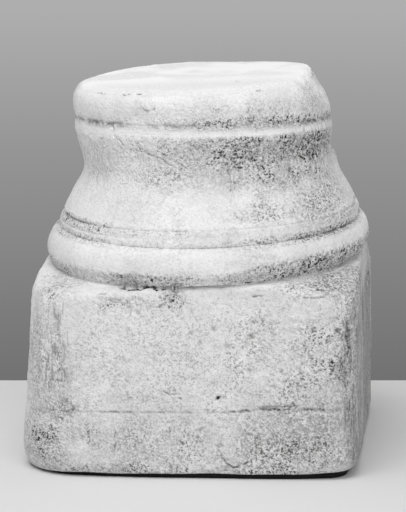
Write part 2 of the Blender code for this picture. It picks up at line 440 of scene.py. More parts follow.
def square_up(radius, angle, height, sizes):
    """Places of the blank's lower part once it is cut square and battered."""
    foot = sizes.plinth_height
    plan_angle = angle + CORNER_CROWDING * np.sin(4 * angle)
    across, back = np.cos(plan_angle), np.sin(plan_angle)
    face = plan_radius(plan_angle, height / foot, sizes)
    worn, worn_up, lean = foot_worn(face * across, face * back)
    edge_wear = edge_worn(face * across, face * back)

    inset = BLANK_RADIUS - radius
    at_foot = (inset < FOOT_ROUNDING + HAIR) & (height < FOOT_ROUNDING + HAIR)
    at_recess = (inset < CONTACT_INSET + HAIR) & (height < HAIR) & ~at_foot
    at_edge = (inset < EDGE_ROUNDING + HAIR) & ~at_foot
    reach = np.where(at_foot, face - inset * worn, face * radius / BLANK_RADIUS)
    recess = face - FOOT_ROUNDING * worn - UNDERCUT * (inset - FOOT_ROUNDING)
    reach = np.where(at_recess, recess, reach)
    reach = np.where(at_edge, face - inset * edge_wear, reach)
    reach = reach - lean * ramp(-height, -LEAN_HEIGHT, 0) * radius / BLANK_RADIUS

    ring_x = SETS["foot"][0] + sizes.foot_radius * np.cos(angle)
    ring_y = SETS["foot"][1] + sizes.foot_radius * np.sin(angle)
    edge = face - EDGE_ROUNDING * edge_wear
    inside = np.minimum(1.0, (edge - SHELF_MARGIN) / np.hypot(ring_x, ring_y))
    run = BLANK_RADIUS - EDGE_ROUNDING - sizes.foot_radius
    share = np.clip((radius - sizes.foot_radius) / run, 0, 1)
    on_shelf = (height > foot - FINE_HAIR) & (inset > EDGE_ROUNDING - FINE_HAIR)
    x = np.where(on_shelf, ring_x * inside * (1 - share) + edge * across * share, reach * across)
    y = np.where(on_shelf, ring_y * inside * (1 - share) + edge * back * share, reach * back)

    below_line, above_line = LINE_HEIGHT - LINE_MARGIN, LINE_HEIGHT + LINE_MARGIN
    low = np.minimum(height, FOOT_ROUNDING) * worn_up
    rise = np.clip((height - FOOT_ROUNDING) / (below_line - FOOT_ROUNDING), 0, 1)
    low = low + rise * (below_line - FOOT_ROUNDING * worn_up)
    lifted = foot_gap(x, y) * ramp(radius, BLANK_RADIUS - CONTACT_INSET, BLANK_RADIUS - RECESS_INSET)
    low = low + lifted * ramp(-low, -GAP_REACH, 0)
    top = shelf_height(x, y, sizes)
    brow = foot - EDGE_ROUNDING
    steeper = (top - EDGE_ROUNDING * edge_wear - above_line) / (brow - above_line)
    high = above_line + (height - above_line) * steeper
    high = np.where(height > brow, top - (foot - height) * edge_wear, high)
    return x, y, np.where(height > above_line, high, np.where(height < below_line, low, height))


def soft_minimum(a, b, width):
    """The lower of two heights, with the edge between them rounded over width."""
    share = np.clip(0.5 + 0.5 * (b - a) / width, 0, 1)
    return b + (a - b) * share - width * share * (1 - share)


# How softly the edge of the bed is rounded, behind and in front
BED_EDGE = 3 * MM
FRONT_BED_EDGE = 12 * MM
BED_EDGE_RUN = 70 * MM

# In front of this line the rim of the bed is worn round, from this far above the crown's groove
RIM_BACK = -20 * MM
RIM_START = 26 * MM
RIM_SMOOTHING = 16

# The crease under the crown is softened all round
CREASE_WIDTH = 3.2 * MM
CREASE_SMOOTHING = 3

# The bed reaches furthest out at its right-hand back corner
RIM_CORNER = math.radians(32)
RIM_CORNER_RISE = 20 * MM
RIM_CORNER_HEIGHT = 12 * MM
RIM_CORNER_SHARPNESS = 8


def set_mouldings(radius, angle, height, sizes):
    """Places of the mouldings, each level as far out of true as it was cut, under the sloping bed."""
    bed_level = Levels(sizes).bed
    shift_x, shift_y, rise_x, rise_y = blend_sets(height, sizes)
    flat_x, flat_y = radius * np.cos(angle), radius * np.sin(angle)
    x, y = flat_x + shift_x, flat_y + shift_y
    z = height + rise_x * flat_x + rise_y * flat_y
    corner = np.cos((angle - RIM_CORNER) / 2) ** RIM_CORNER_SHARPNESS
    z = z + RIM_CORNER_RISE * corner * ramp(height, bed_level - RIM_CORNER_HEIGHT, bed_level)
    bed = bed_level + BED_RISE[0] * x + BED_RISE[1] * y
    softness = BED_EDGE + (FRONT_BED_EDGE - BED_EDGE) * ramp(-y, 0, BED_EDGE_RUN)
    return x, y, soft_minimum(z, bed, softness)


def turn_blank(sizes):
    """Draw the profile by extruding one point, then spin it round the upright axis."""
    profile = blank_profile(sizes)
    bpy.ops.object.select_all(action="DESELECT")
    bpy.ops.mesh.primitive_plane_add(size=MM)
    stone = bpy.context.active_object
    bpy.ops.object.mode_set(mode="EDIT")
    bpy.ops.mesh.select_all(action="SELECT")
    bpy.ops.mesh.merge(type="CENTER")
    here = Vector((profile[0][0], 0.0, profile[0][1]))
    for radius, height in profile[1:]:
        goal = Vector((radius, 0.0, height))
        bpy.ops.mesh.extrude_vertices_move(TRANSFORM_OT_translate={"value": goal - here})
        here = goal
    bpy.ops.mesh.select_all(action="SELECT")
    bpy.ops.mesh.spin(steps=sizes.columns, angle=FULL_TURN, center=(0, 0, 0), axis=(0, 0, 1))
    bpy.ops.mesh.select_all(action="SELECT")
    bpy.ops.mesh.remove_doubles(threshold=FINE_HAIR)
    bpy.ops.mesh.normals_make_consistent(inside=False)
    bpy.ops.object.mode_set(mode="OBJECT")
    return stone


def read_points(mesh, what="co"):
    """Places or normals of all vertices as rows of three."""
    flat = np.empty(3 * len(mesh.vertices))
    mesh.vertices.foreach_get(what, flat)
    return flat.reshape(-1, 3)


def write_points(mesh, points):
    mesh.vertices.foreach_set("co", np.ascontiguousarray(points).ravel())
    mesh.update()


# Height of every vertex on the blank, which tells the mouldings apart until the stone is weathered
BLANK_HEIGHT = "blank_height"


def keep(mesh, name, values):
    """Store one number for every vertex."""
    layer = mesh.attributes.new(name, "FLOAT", "POINT")
    layer.data.foreach_set("value", np.ascontiguousarray(values, dtype=np.float32))


def kept(mesh, name):
    values = np.empty(len(mesh.vertices), dtype=np.float32)
    mesh.attributes[name].data.foreach_get("value", values)
    return values


def shape_blank(mesh, sizes):
    """Square the plinth and set the mouldings, and note how high each vertex was on the blank."""
    points = read_points(mesh)
    radius = np.hypot(points[:, 0], points[:, 1])
    from_front = np.arctan2(points[:, 0], -points[:, 1])
    from_front = from_front - FRONT_CROWDING * np.sin(from_front)
    angle = from_front - QUARTER_TURN
    height = points[:, 2]
    block = np.stack(square_up(radius, angle, height, sizes), axis=1)
    turned = np.stack(set_mouldings(radius, angle, height, sizes), axis=1)
    above = height > sizes.plinth_height + FINE_HAIR
    write_points(mesh, np.where(above[:, None], turned, block))
    keep(mesh, BLANK_HEIGHT, height)


def select_only(stone, kind, chosen):
    """Go into edit mode with only the chosen faces or vertices selected."""
    bpy.ops.object.mode_set(mode="EDIT")
    bpy.ops.mesh.select_mode(type=kind)
    bpy.ops.mesh.select_all(action="DESELECT")
    bpy.ops.object.mode_set(mode="OBJECT")
    elements = stone.data.polygons if kind == "FACE" else stone.data.vertices
    elements.foreach_set("select", chosen)
    bpy.ops.object.mode_set(mode="EDIT")


def refine(stone, wanted, cuts):
    """Split the faces whose first corner is wanted into finer ones."""
    mesh = stone.data
    starts = np.empty(len(mesh.polygons), dtype=np.int32)
    corners = np.empty(len(mesh.loops), dtype=np.int32)
    mesh.polygons.foreach_get("loop_start", starts)
    mesh.loops.foreach_get("vertex_index", corners)
    select_only(stone, "FACE", wanted[corners[starts]])
    bpy.ops.mesh.subdivide(number_cuts=cuts)
    bpy.ops.object.mode_set(mode="OBJECT")


def soften(stone, chosen, times):
    """Smooth the chosen vertices."""
    select_only(stone, "VERT", chosen)
    bpy.ops.mesh.vertices_smooth(factor=0.5, repeat=times)
    bpy.ops.object.mode_set(mode="OBJECT")


def rough(points, size, seed, octaves=3):
    """Fractal noise from about -1 to 1, whose lumps are size metres across."""
    shift = Vector((17.3 * seed, 5.7 * seed, 11.1 * seed))
    return np.array([noise.fractal(Vector(point) / size + shift, 1.0, 2.0, octaves) for point in points])


# Marks are placed as the camera sees them, and distance along its line of sight counts little
SIGHT_PITCH = math.radians(9.4)
SIGHT_DEPTH = 0.2


def sight(points):
    """Places turned to the line of sight, with the distance along it shrunk."""
    x, y, z = np.asarray(points).reshape(-1, 3).T
    across = x * math.cos(VIEW_TURN) + y * math.sin(VIEW_TURN)
    away = y * math.cos(VIEW_TURN) - x * math.sin(VIEW_TURN)
    depth = away * math.cos(SIGHT_PITCH) - z * math.sin(SIGHT_PITCH)
    up = away * math.sin(SIGHT_PITCH) + z * math.cos(SIGHT_PITCH)
    return np.stack([across, SIGHT_DEPTH * depth, up], axis=1)


def path_distance(points, path):
    """Distance from each point to a path, both turned to the line of sight."""
    nearest = np.full(len(points), np.inf)
    for start, end in zip(path, path[1:]):
        run = end - start
        share = np.clip((points - start) @ run / (run @ run), 0, 1)
        nearest = np.minimum(nearest, np.linalg.norm(points - start - share[:, None] * run, axis=1))
    return nearest


# Cracks and scratches: half width and depth in millimetres, darkness, then the places they pass
CRACKS = (
    (1.5, 1.4, 1.30, ((-68, -140, 181), (-65, -142, 180.4), (-56, -148.7, 181.2), (-42, -150.4, 181.5))),
    (1.5, 1.4, 1.25, ((-42, -150.4, 181.5), (-35, -154, 183.2), (-28, -154, 181.6), (-22, -156.6, 182.2))),
    (1.2, 1.0, 0.80, ((-22, -156.6, 182.2), (-17, -158, 184.6), (-12.3, -160, 186.6))),
    (1.3, 1.8, 0.75, ((-16.3, -157.5, 183.7), (-13.6, -156.5, 178.8), (-15.5, -156.6, 173.1),
                      (-18.3, -156.7, 169.3))),
    (1.2, 1.0, 0.50, ((-18, -157, 177), (-24, -157, 174), (-32, -157, 172.5))),
    (1.2, 1.0, 0.45, ((-12.4, -158.8, 185), (0.4, -156.2, 183.2), (14.5, -157.8, 184.7), (35.7, -155, 186))),
    (1.3, 1.3, 0.85, ((-25, -156.7, 84.2), (-19.5, -156.5, 82.4), (-12.9, -156.3, 81.5), (-9.2, -156, 78.6))),
    (1.1, 0.7, 0.50, ((73, -153, 135), (75.9, -153, 128.5), (77.7, -153, 121.8))),
    (1.2, 0.7, 0.45, ((74.9, -153, 135), (84.2, -152.7, 134.8))),
    (1.0, 0.6, 0.42, ((38.5, -154.5, 183), (38.9, -154.5, 175.5), (39.4, -154.4, 168))),
    (1.0, 0.6, 0.35, ((26.4, -155, 174.5), (23.6, -155, 167), (21.8, -155, 162))),
    (1.0, 0.7, 0.45, ((65.4, -153.5, 173), (65.5, -153.4, 158.8), (64.6, -153.4, 147.4), (68.3, -153.3, 146),
                      (76.7, -153, 149.4), (84, -153, 150.5))),
    (1.5, 1.8, 0.80, ((27.5, -154.8, 28), (30.3, -154.7, 21.2), (35, -154.5, 15.4), (41, -154.3, 11.6),
                      (47.3, -154, 13.7), (54.8, -153.8, 17.7))),
    (1.1, 0.8, 0.35, ((28, -155, 50), (33, -155, 50.5), (38, -155, 51.5))),
    (1.3, 1.4, 0.55, ((58, -153.7, 175.7), (67, -153.4, 175.8))),
    (1.5, 1.4, 0.55, ((106, -151.8, 176.2), (119, -150.8, 175.2), (135.6, -144, 176.2))),
    (1.2, 1.2, 0.65, ((121.6, -117.4, 187.3), (125.5, -121.5, 185.2), (129.5, -127.5, 182.5))),
    (1.2, 0.9, 0.50, ((117, -120.8, 186.8), (128.8, -107.2, 188.5), (139.8, -94, 190.2))),
    (1.2, 0.9, 0.50, ((129.6, -130.5, 181.2), (140.6, -121.4, 181.6))),
    (1.0, 0.6, 0.40, ((-56.6, -158, 170), (-55, -158, 163), (-57, -158, 156))),
    (1.0, 0.6, 0.35, ((-46.4, -157.7, 162), (-44, -157.6, 153))),
    (1.0, 0.6, 0.35, ((-59.6, -158, 146), (-58, -158, 138))),
    (1.0, 0.6, 0.35, ((-41.8, -157.5, 131), (-43, -157.5, 124))),
    (1.2, 1.2, 0.75, ((-77.8, -103.9, 328), (-77.9, -103.6, 322))),
    (1.2, 0.9, 0.55, ((-75.8, -105, 320.3), (-65.8, -109, 308.5), (-50.6, -116.5, 305.7), (-31, -122.6, 301),
                      (-21.4, -124.6, 294.7), (-15.7, -125.6, 292))),
    (1.2, 0.9, 0.55, ((32.9, -122.8, 298), (33, -124.2, 288.6), (36.8, -124.4, 283), (35.3, -127.8, 272))),
    (1.2, 0.9, 0.60, ((33, -123.8, 290.5), (44, -119.7, 296.7), (53, -115.3, 304), (52, -114, 313))),
    (1.3, 1.2, 0.60, ((-70.5, -157, 45), (-70, -157, 36), (-71, -157, 27))),
    (1.3, 1.0, 0.60, ((-75, -157, 172), (-72, -157, 168.5), (-64, -157, 168.5))),
    (3.2, 0.8, 0.50, ((-129, -150, 155), (-127, -152, 146), (-124.5, -153, 135))),
    (3.0, 0.8, 0.50, ((-129.5, -151, 126), (-131.5, -151, 110), (-132, -151, 93))),
    (2.6, 0.5, 0.28, ((-120.5, -154.6, 141), (-122, -155, 122), (-122, -155.3, 101))),
    (1.3, 1.0, 0.55, ((-97, -140, 176), (-91, -150, 175), (-86, -152, 175.5), (-78, -152, 177))),
    (1.2, 1.0, 0.45, ((96, -35, 373), (104, -28, 370.5), (109, -20, 366))),
    (3.4, 2.4, 0.85, ((147, -135, 148), (148, -134, 141), (150, -132, 131), (149, -133, 124),
                      (147, -135, 119))),
    (2.6, 1.8, 0.60, ((148, -134, 101), (147.5, -135, 95), (145.5, -137, 88))),
    (2.4, 1.6, 0.55, ((152, -124, 162), (154, -121, 156), (153.5, -122, 151))),
    (2.2, 1.4, 0.45, ((150, -131, 114), (149, -133, 110), (147, -135, 107))),
    (1.4, 0.8, 0.70, ((-97, -84, 358.8), (-88, -91, 359.5))),
    (1.6, 1.0, 0.80, ((-69, -104, 361), (-58, -111, 360.5), (-46, -115, 361.5))),
    (1.3, 0.7, 0.60, ((50, -109, 363.6), (62, -101, 364.5))),
    (1.5, 1.0, 0.60, ((-48, -121.7, 347), (-42, -123, 345), (-36, -125, 347))),
)

# Half width in millimetres from which a crack is a broad stroke, which needs no finer faces
BROAD_STROKE = 2
CRACK_MARGIN = 4.5 * MM
CRACK_CORE = 0.62

# A crack strays from its path by noise of this size, reach and seed
WANDER_SIZE = 5 * MM
WANDER_REACH = 1.4 * MM
WANDER_SEED = 8
RAGGED_SIZE = 4 * MM

# Hollows knocked or worn out of the stone: radius and depth in millimetres, then the place
HOLLOWS = (
    (9, 3.0, (150, -132, 134)),
    (10, 3.0, (148, -135, 107)),
    (12, 2.5, (-123, -154, 119)),
    (10, 2.2, (-119, -156, 95)),
    (9, 1.8, (-122, -155, 73)),
    (9, 2.0, (-127, -151, 149)),
    (3.2, 4.0, (26.5, -154.8, 79)),
    (2.6, 1.6, (9.6, -155.5, 48)),
    (2.4, 1.6, (7, -155.5, 40.5)),
    (3.0, 1.6, (22, -155.5, 145)),
    (3.0, 1.4, (9.6, -155.5, 132)),
    (3.2, 2.0, (114.8, -151.6, 145)),
    (3.6, 2.6, (137.8, -143.9, 143)),
    (3.2, 1.6, (35, -155, 128)),
    (4.2, 1.6, (58, -154, 138)),
    (3.4, 1.4, (52, -154, 132)),
    (3.0, 1.4, (63, -154, 114)),
    (2.8, 1.4, (56, -154, 106)),
    (3.0, 1.2, (-57, -157.5, 164)),
    (2.6, 1.6, (-48, -157.5, 159)),
    (3.0, 1.4, (-84, -157, 172)),
    (3.2, 1.4, (-70, -157, 172)),
    (3.0, 1.6, (28, -155, 33)),
    (9, 3.0, (36, -155, 5)),
    (12, 3.0, (-66, -158, 4)),
    (8, 2.5, (84, -153, 4)),
    (16, 2.0, (-60, -150, 183)),
    (9, 2.5, (-15, -158, 184)),
    (6, 1.6, (-68, -106, 360)),
    (8, 1.4, (-44, -117, 361)),
    (7, 1.2, (-92, -80, 352)),
    (10, 1.4, (-50, -121, 342)),
    (1.8, 1.3, (36.6, -61, 368.8)),
)

# Radius in millimetres up to which a hollow needs finer faces, and up to which it holds most dirt
FINE_HOLLOW = 5
SMALL_HOLLOW = 6
HOLLOW_CORE = 0.7
HOLLOW_MARGIN = 2.5
MOST_HELD = 1.2

# How far finer faces reach on both sides of a crack, and past a small hollow
FINE_BESIDE_CRACK = 2.8 * MM
FINE_ROUND_HOLLOW = 1.2


def cut_marks(points):
    """How deep the cracks and hollows cut, and how much dirt they hold."""
    depth = np.zeros(len(points))
    dark_marks = np.zeros(len(points))
    seen = sight(points)
    noise.seed_set(WANDER_SEED)
    for half_width, cut, darkness, path in CRACKS:
        track = sight(path) * MM
        low, high = track.min(axis=0) - CRACK_MARGIN, track.max(axis=0) + CRACK_MARGIN
        close = np.flatnonzero(np.all((seen > low) & (seen < high), axis=1))
        here = points[close]
        wander = np.array([noise.noise_vector(Vector(point) / WANDER_SIZE) for point in here]).reshape(-1, 3)
        ragged = 1 + 0.6 * rough(here, RAGGED_SIZE, 31, 2)
        away = path_distance(seen[close] + wander * WANDER_REACH, track)
        near = gauss(away, half_width * MM * CRACK_CORE * np.maximum(ragged, 0.75))
        depth[close] += cut * MM * near
        dark_marks[close] = np.maximum(dark_marks[close], darkness * np.clip(1.5 * near - 0.25, 0, 1))
    for radius, cut, place in HOLLOWS:
        away = np.linalg.norm(seen - sight(place) * MM, axis=1)
        close = np.flatnonzero(away < HOLLOW_MARGIN * radius * MM)
        ragged = np.maximum(1 + 0.9 * rough(points[close], RAGGED_SIZE, 33, 2), 0.4)
        near = gauss(away[close], radius * MM * HOLLOW_CORE * ragged)
        depth[close] += cut * MM * near
        held = 0.22 * cut if radius < SMALL_HOLLOW else 0.06 * cut
        dark_marks[close] = np.maximum(dark_marks[close], min(MOST_HELD, held) * np.clip(1.5 * near, 0, 1))
    return depth, dark_marks


def near_cracks(points):
    """True on what lies beside a narrow crack or a small hollow."""
    near = np.zeros(len(points), dtype=bool)
    seen = sight(points)
    for half_width, _, _, path in CRACKS:
        if half_width < BROAD_STROKE:
            near |= path_distance(seen, sight(path) * MM) < FINE_BESIDE_CRACK
    for radius, _, place in HOLLOWS:
        if radius < FINE_HOLLOW:
            near |= np.linalg.norm(seen - sight(place) * MM, axis=1) < FINE_ROUND_HOLLOW * radius * MM
    return near


class Skin:
    """What is known of every vertex of the carved stone."""

    def __init__(self, mesh, sizes, points):
        self.points = points
        self.x, self.y, self.z = points.T
        self.height = kept(mesh, BLANK_HEIGHT).astype(float)
        self.sizes = sizes
        self.level = Levels(sizes)

        # One on what faces the front, fading out round the sides
        self.front = ramp(-self.y, 0.0, 60 * MM)

    def band(self, low, high, fade):
        """One between two levels of the blank, fading out past them."""
        return ramp(self.height, low - fade, low) * ramp(-self.height, -high - fade, -high)

    def under_torus(self, low, reach, wider, fade):
        """One on the underside of the torus, further up towards the right."""
        high = self.level.foot + reach + wider * ramp(self.x, 30 * MM, 90 * MM)
        return self.band(self.level.foot + low, high, fade) * (self.height > self.level.foot + FINE_HAIR)

    def round_moulding(self, table, behind):
        """A strength that follows a table along the front, and is even behind."""
        return along(self.x, table) * self.front + behind * (1 - self.front)


def patches(skin, table):
    """Soft patches on the front of the stone, strongest in the middle."""
    wander = 5 * MM * rough(skin.points, 16 * MM, 51, 2)
    total = np.zeros(len(wander))
    for strength, x, z, half_width, half_height in table:
        across = (skin.x + wander - x * MM) / (half_width * MM)
        up = (skin.z + wander - z * MM) / (half_height * MM)
        total = np.maximum(total, strength * np.exp(-(across ** 2 + up ** 2) ** 1.5))
    return total * skin.front


# Where the surface is crumbled and pitted: strength, then middle X and Z and half width and height in mm
PITTED = (
    (0.70, 84, 284, 60, 16),
    (0.50, -20, 286, 70, 16),
    (0.58, 112, 262, 34, 24),
    (0.60, 74, 250, 40, 12),
    (0.48, 112, 350, 26, 20),
    (0.60, 112, 367, 14, 12),
    (0.42, 70, 346, 30, 12),
    (0.34, 0, 345, 50, 10),
    (0.32, 0, 100, 190, 110),
    (0.40, -92, 298, 60, 24),
    (0.42, 104, 100, 52, 92),
    (0.62, 132, 122, 26, 62),
    (0.60, 112, 138, 26, 26),
    (0.55, 108, 78, 34, 52),
    (0.60, 92, 28, 62, 30),
    (0.42, -140, 100, 26, 90),
    (0.50, -126, 96, 13, 46),
    (0.60, -122, 66, 20, 16),
    (0.70, -140, 34, 26, 30),
    (0.50, -98, 44, 26, 14),
    (0.42, -20, 34, 90, 30),
    (0.60, -60, 8, 90, 9),
    (0.60, 70, 8, 80, 9),
    (0.55, -128, 174, 30, 12),
    (0.60, -60, 170, 40, 9),
    (0.60, -16, 172, 18, 12),
    (0.70, 128, 184, 20, 10),
    (0.60, 146, 176, 20, 20),
    (0.45, 62, 140, 30, 34),
    (0.40, 40, 108, 44, 26),
    (0.36, -60, 110, 40, 44),
    (0.60, 56, 34, 16, 40),
    (0.40, 66, 262, 14, 26),
    (0.50, 100, 182, 30, 8),
    (0.45, -122, 180, 26, 8),
)

# Where a grey skin or dirt darkens the surface, and where painted shade does, as on the right shelf beside
# the torus foot
GREY_SKIN_AND_SHADE = (
    (0.60, -121, 66, 17, 9),
    (0.30, -127, 120, 8, 44),
    (0.16, -142, 90, 16, 60),
    (0.55, -140, 18, 30, 22),
    (0.45, -60, 2, 100, 5),
    (0.30, -52, 77, 26, 9),
    (0.35, -80, 12, 46, 9),
    (0.32, 0, 32, 190, 32),
    (0.70, 92, 36, 64, 34),
    (0.60, 130, 36, 30, 40),
    (0.16, 142, 112, 16, 70),
    (0.36, 120, 262, 30, 26),
    (0.40, 128, 186, 20, 9),
    (0.70, 140, 184, 34, 14),
    (0.30, -70, 35, 6, 20),
    (0.25, -4, 60, 12, 10),
    (0.45, 56, 34, 18, 40),
    (0.28, 66, 258, 12, 26),
    (0.24, -128, 178, 14, 8),
    (0.30, -134, 76, 18, 34),
    (0.24, 52, 214, 26, 12),
    (0.14, -10, 256, 80, 26),
)

# Where the surface is rubbed clean and bright, and where painted light lifts places the lamps leave in shade,
# as the left of the neck under the crown
RUBBED_AND_PAINTED_LIGHT = (
    (0.9, -104, 30, 8, 10),
    (0.7, -118, 26, 5, 5),
    (0.9, 141, 158, 6, 8),
    (0.8, 147, 112, 4, 6),
    (0.85, -88, 302, 60, 32),
    (0.7, -140, 150, 34, 60),
    (0.55, -118, 268, 50, 62),
    (0.45, -140, 222, 50, 22),
    (0.6, -112, 346, 30, 16),
    (0.45, -40, 150, 80, 36),
    (0.3, 30, 140, 50, 40),
    (0.5, -60, 222, 60, 12),
    (0.8, -112, 186, 34, 3.5),
    (0.4, 40, 186, 60, 4),
    (0.4, -30, 100, 34, 22),
    (0.3, -80, 140, 26, 40),
)

# Where the mason's strokes still show: upright ones, then ones that lean to the right
UPRIGHT_STREAKS = (
    (1.0, -128, 115, 16, 60),
    (0.5, -148, 110, 12, 70),
    (0.8, 149, 110, 11, 80),
    (0.5, -98, 285, 20, 30),
    (0.5, 60, 285, 60, 20),
    (0.4, 132, 60, 22, 40),
    (0.3, -52, 40, 12, 26),
)
SLANTING_STREAKS = (
    (0.9, 112, 306, 24, 24),
    (0.3, 60, 296, 40, 18),
    (0.3, -30, 296, 40, 10),
    (0.35, -92, 300, 30, 14),
    (0.4, 116, 350, 16, 18),
)

# Strength along X, in millimetres, of the pits that follow a moulding; under the torus, at the crown's groove
# and under the band they also scale painted shade
UNDER_TORUS = ((-160, 0.5), (-130, 0.6), (-100, 0.45), (-85, 0.5), (-75, 0.8), (-25, 0.8), (-15, 0.55),
               (15, 0.45), (40, 0.66), (70, 0.78), (120, 0.84), (160, 0.8))
OVER_BAND = ((-128, 0.2), (-75, 0.3), (-50, 0.2), (-30, 0.4), (0, 0.52), (40, 0.7), (90, 0.72),
             (128, 0.62))
UNDER_BAND = ((-128, 0.3), (-90, 0.36), (-60, 0.4), (-30, 0.5), (0, 0.58), (20, 0.74), (45, 0.9),
              (90, 0.98), (128, 1.0))
UNDER_BELL = ((-145, 0.9), (-105, 0.9), (-75, 0.55), (-40, 0.35), (0, 0.4), (25, 0.2), (90, 0.15),
              (140, 0.6))
UNDER_ROLL = ((-150, 0.9), (-110, 0.7), (-60, 0.4), (0, 0.35), (40, 0.45), (60, 0.7), (110, 0.9),
              (155, 1.0))

# The level line: its height along X, both in millimetres, and how clearly it shows
LINE_COURSE = ((-139, 60), (-123, 63), (-94, 64.5), (-9, 64.5), (19, 65), (47, 66.4), (64, 68.5),
               (122, 69), (145, 68))
LINE_SHOWS = ((-139, 0.4), (-104, 0.5), (-95, 0.9), (-84, 0.3), (-76, 0.75), (-37, 0.75), (-30, 0.6),
              (30, 0.55), (42, 0.9), (95, 1.0), (104, 0.8), (122, 0.9), (145, 0.5))

# How clearly each groove still shows along X, in millimetres
CROWN_GROOVE = ((-128, 0.5), (-105, 0.7), (-85, 0.8), (-66, 0.6), (-58, 0.12), (-48, 0.08), (-40, 0.36),
                (-20, 0.5), (-8, 0.38), (20, 0.28), (60, 0.36), (90, 0.6), (128, 0.8))
BELL_GROOVE = ((-145, 0.7), (-110, 0.6), (-80, 0.45), (-55, 0.2), (-40, 0.35), (-10, 0.4), (4, 0.1),
               (100, 0.05), (150, 0.1))
ROLL_GROOVE = ((-150, 0.35), (-110, 0.35), (-80, 0.25), (-40, 0.3), (0, 0.3), (36, 0.4), (44, 0.2),
               (60, 0.1), (90, 0.25), (108, 0.6), (128, 0.7), (155, 0.7))

# Level of each groove, how clearly it shows, the width of its dark line of dirt and painted shade, and its
# filling's depth in millimetres
GROOVES = (
    ("crown", CROWN_GROOVE, 2.6, 1.6),
    ("roll", BELL_GROOVE, 1.0, 4.2),
    ("torus", ROLL_GROOVE, 1.0, 1.5),
)

# Pits that follow a moulding: its level, from and to past it and the fade in millimetres, and strength
MOULDING_PITS = (
    ("crown", -1, 5, 7, 1.0, OVER_BAND),
    ("roll", -3, 2, 4, 0.8, UNDER_BELL),
    ("torus", -1, 4, 4, 0.7, UNDER_ROLL),
)

# The second stroke of the level line lies this far above the first
SECOND_LINE = 2.9 * MM


def level_line(skin):
    """Strength of the level line scratched across the front of the plinth."""
    x, z = skin.x, skin.z
    course = along(x, LINE_COURSE) * MM + 0.5 * MM * rough(skin.points, 9 * MM, 43, 2)
    broken = 0.35 + 0.65 * ramp(rough(skin.points, 6 * MM, 41, 2), -0.25, 0.25)
    width = (1.1 + 0.5 * ramp(x, 20 * MM, 60 * MM)) * MM
    line = gauss(z - course, width) * broken * along(x, LINE_SHOWS)
    at_right = ramp(x, 60 * MM, 68 * MM) * ramp(-x, -106 * MM, -96 * MM)
    second = gauss(z - course - SECOND_LINE, 0.9 * MM) * at_right
    return np.maximum(line, 0.65 * second) * ramp(-skin.y, 120 * MM, 140 * MM)


# How far the wear of each upright corner reaches, front left first, and that of the lower edge
ARRIS_REACH = (34 * MM, 26 * MM, 20 * MM, 22 * MM)
ARRIS_INSET = 0.45
LOWER_ARRIS = 12 * MM


def plinth_arris(skin):
    """One on the plinth's upright corners and lower edge, fading out over the faces."""
    near = np.zeros(len(skin.x))
    for corner, radius, width in zip(plinth_corners(skin.sizes, False), CORNER_RADII, ARRIS_REACH):
        inset = ARRIS_INSET * radius
        place = (corner.x - math.copysign(inset, corner.x), corner.y - math.copysign(inset, corner.y))
        near = np.maximum(near, near_corner(skin.x, skin.y, (*place, width)))
    near = near * ramp(-skin.z, -skin.sizes.plinth_height, 20 * MM - skin.sizes.plinth_height)
    return np.clip(np.maximum(near, 0.6 * gauss(skin.z, LOWER_ARRIS)), 0, 1)


# Breaks: place in millimetres, which way the broken face looks, and how far it reaches
BREAKS = (
    ((106.5, 5, 367.7), (0.78, -0.06, 0.62), 120),
    ((103, -38, 369), (0.60, -0.52, 0.61), 16),
)
BREAK_EDGE = 4 * MM
BREAK_RELIEF = 1.8 * MM
BREAK_GRAIN = 7 * MM


def break_off(points):
    """Cut what stands proud of each broken face back to it."""
    for place, facing, reach in BREAKS:
        facing = np.array(Vector(facing).normalized())
        apart = points - np.array(place) * MM
        near = np.minimum(1.6 * gauss(np.linalg.norm(apart, axis=1), reach * MM), 1)
        proud = apart @ facing + BREAK_RELIEF * rough(points, BREAK_GRAIN, 61, 3) * near
        proud = (proud + np.hypot(proud, BREAK_EDGE)) / 2
        points = points - (proud * near)[:, None] * facing
    return points


# Low swellings and dips of the carved surface: height and radius in millimetres, then the place
SWELLINGS = (
    (0.6, 40, (-38, 96, 374)),
    (0.8, 30, (-78, 60, 370)),
    (-1.6, 36, (30, 110, 376)),
    (-1.6, 18, (-113, -10, 280)),
    (1.2, 16, (128, 5, 292)),
    (1.4, 18, (134, 0, 276)),
    (-2.2, 8, (150, -6, 252)),
    (-2.4, 7, (153, -8, 240)),
    (1.6, 70, (168, 120, 95)),
    (0.9, 90, (-168, -60, 90)),
    (1.2, 26, (-152, 0, 186)),
)

LEAST_PITTED = 0.14
PIT_ZONE = 0.15
PIT_SPACING = 4.4 * MM
PIT_WIDTH = 0.46
PIT_CHANCE = 0.95

# Any vector far from round numbers, and a large factor, turn a pit's place into its chance
CHANCE_VECTOR = Vector((12.99, 78.23, 37.72))
CHANCE_FACTOR = 43758.5


def scatter_pits(points, zone):
    """Round pits crowded where the zone is strong: how deep each place lies in one, from 0 to 1."""
    deep = np.zeros(len(points))
    for index in np.flatnonzero(zone > PIT_ZONE):
        distances, centres = noise.voronoi(Vector(points[index]) / PIT_SPACING)
        chance = math.sin(centres[0].dot(CHANCE_VECTOR)) * CHANCE_FACTOR
        if chance - math.floor(chance) < zone[index] * PIT_CHANCE:
            deep[index] = max(0.0, 1 - distances[0] / PIT_WIDTH)
    return deep


def neck_shade(skin):
    """The crumbled zone of the neck, sheltered by the band and strongest at the right, which is pitted and
    darkened by dirt and painted shade.
    """
    level = skin.level
    uneven = skin.height + 4 * MM * rough(skin.points, 22 * MM, 77, 2)
    high = level.crown - 7.5 * MM
    zone = ramp(uneven, level.neck - 22 * MM, level.neck) * ramp(-skin.height, -high, 5 * MM - high)
    return zone * skin.round_moulding(UNDER_BAND, 0.55)


